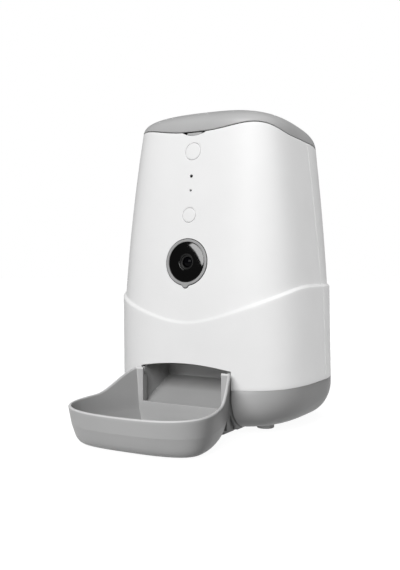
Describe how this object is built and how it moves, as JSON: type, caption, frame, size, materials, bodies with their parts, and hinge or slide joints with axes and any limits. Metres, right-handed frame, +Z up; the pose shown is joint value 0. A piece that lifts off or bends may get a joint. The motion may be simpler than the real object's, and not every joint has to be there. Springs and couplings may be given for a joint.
{
  "type": "automatic pet feeder",
  "caption": "Automatic pet feeder: tapered white housing on a grey base, hinged lid over a hopper, paddle-wheel dispenser, front camera and buttons, chute and slide-out bowl.",
  "frame": {"origin": "middle of the footprint of housing and bowl, on the floor", "axes": "+Z up, -Y out of the front towards the bowl, +X to the right of a viewer who faces the front"},
  "size_m": [0.19, 0.31, 0.302],
  "materials": {
    "white_plastic": "fine matte texture",
    "grey_plastic": "fine matte texture",
    "natural_plastic": "moulded, unpainted",
    "bearing_plastic": "moulded, unpainted",
    "black_plastic": "moulded",
    "gloss_black": "polished",
    "bezel_plastic": "satin",
    "lens_glass": "coated lens",
    "light_pipe": "clear moulding",
    "circuit_board": "solder mask",
    "paddle_rubber": "soft moulding",
    "seal_rubber": "silicone",
    "foot_rubber": "matte",
    "steel": "zinc plated",
    "motor_metal": "plated can",
    "brass": "machined"
  },
  "bodies": {
    "housing": {"base_shell": "grey_plastic", "rubber_feet": "foot_rubber", "chassis_deck": "natural_plastic", "deck_screws": "steel", "front_shell": "white_plastic", "rear_shell": "white_plastic", "hopper": "natural_plastic", "dispenser_housing": "natural_plastic", "dispenser_screws": "steel", "shaft_bushes": "bearing_plastic", "index_switch": "black_plastic", "idler_axle": "steel", "gear_motor": "motor_metal", "motor_screws": "steel", "gear_cover": "natural_plastic", "chute": "grey_plastic", "hinge_pin": "steel", "camera_bezel": "bezel_plastic", "camera_window": "gloss_black", "lens_barrel": "black_plastic", "lens_glass": "lens_glass", "camera_board": "circuit_board", "button_board": "circuit_board", "tact_switches": "black_plastic", "light_pipe": "light_pipe", "microphone": "black_plastic", "main_board": "circuit_board", "board_screws": "steel", "speaker": "black_plastic", "power_inlet": "black_plastic"},
    "rotor": {"rotor_shaft": "steel", "paddle_rotor": "paddle_rubber", "index_cam": "bearing_plastic", "drive_gear": "bearing_plastic"},
    "idler": {"idler_gear": "bearing_plastic"},
    "pinion": {"motor_pinion": "brass"},
    "lid": {"lid": "grey_plastic", "lid_liner": "natural_plastic", "lid_seal": "seal_rubber", "desiccant_cup": "white_plastic", "desiccant_cap": "white_plastic"},
    "latch": {"latch_tab": "grey_plastic"},
    "feed_button": {"feed_button": "white_plastic"},
    "pair_button": {"pair_button": "white_plastic"},
    "bowl": {"bowl": "grey_plastic"}
  },
  "joints": [
    {"name": "rotor_spin", "type": "hinge", "parent": "housing", "child": "rotor", "pos_m": [0, -0.001, 0.104], "axis": [1, 0, 0], "continuous": true},
    {"name": "idler_spin", "type": "hinge", "parent": "housing", "child": "idler", "pos_m": [0.044, 0.03659, 0.09032], "axis": [1, 0, 0], "continuous": true},
    {"name": "pinion_spin", "type": "hinge", "parent": "housing", "child": "pinion", "pos_m": [0.044, 0.05875, 0.08641], "axis": [1, 0, 0], "continuous": true},
    {"name": "lid_hinge", "type": "hinge", "parent": "housing", "child": "lid", "pos_m": [0, 0.152, 0.2677], "axis": [-1, 0, 0], "range_deg": [0, 95]},
    {"name": "latch_slide", "type": "slide", "parent": "lid", "child": "latch", "axis": [0, 1, 0], "range_m": [0, 0.002], "stiffness_N_per_m": 800},
    {"name": "feed_press", "type": "slide", "parent": "housing", "child": "feed_button", "axis": [0, 0.9911, -0.133], "range_m": [0, 0.001], "stiffness_N_per_m": 600},
    {"name": "pair_press", "type": "slide", "parent": "housing", "child": "pair_button", "axis": [0, 0.9937, -0.1116], "range_m": [0, 0.001], "stiffness_N_per_m": 600},
    {"name": "bowl_slide", "type": "slide", "parent": "housing", "child": "bowl", "axis": [0, -1, 0], "range_m": [0, 0.06]}
  ],
  "couplings": [
    {"joint": "idler_spin", "follows": "rotor_spin", "ratio": -1.6667},
    {"joint": "pinion_spin", "follows": "rotor_spin", "ratio": 3.3333}
  ]
}
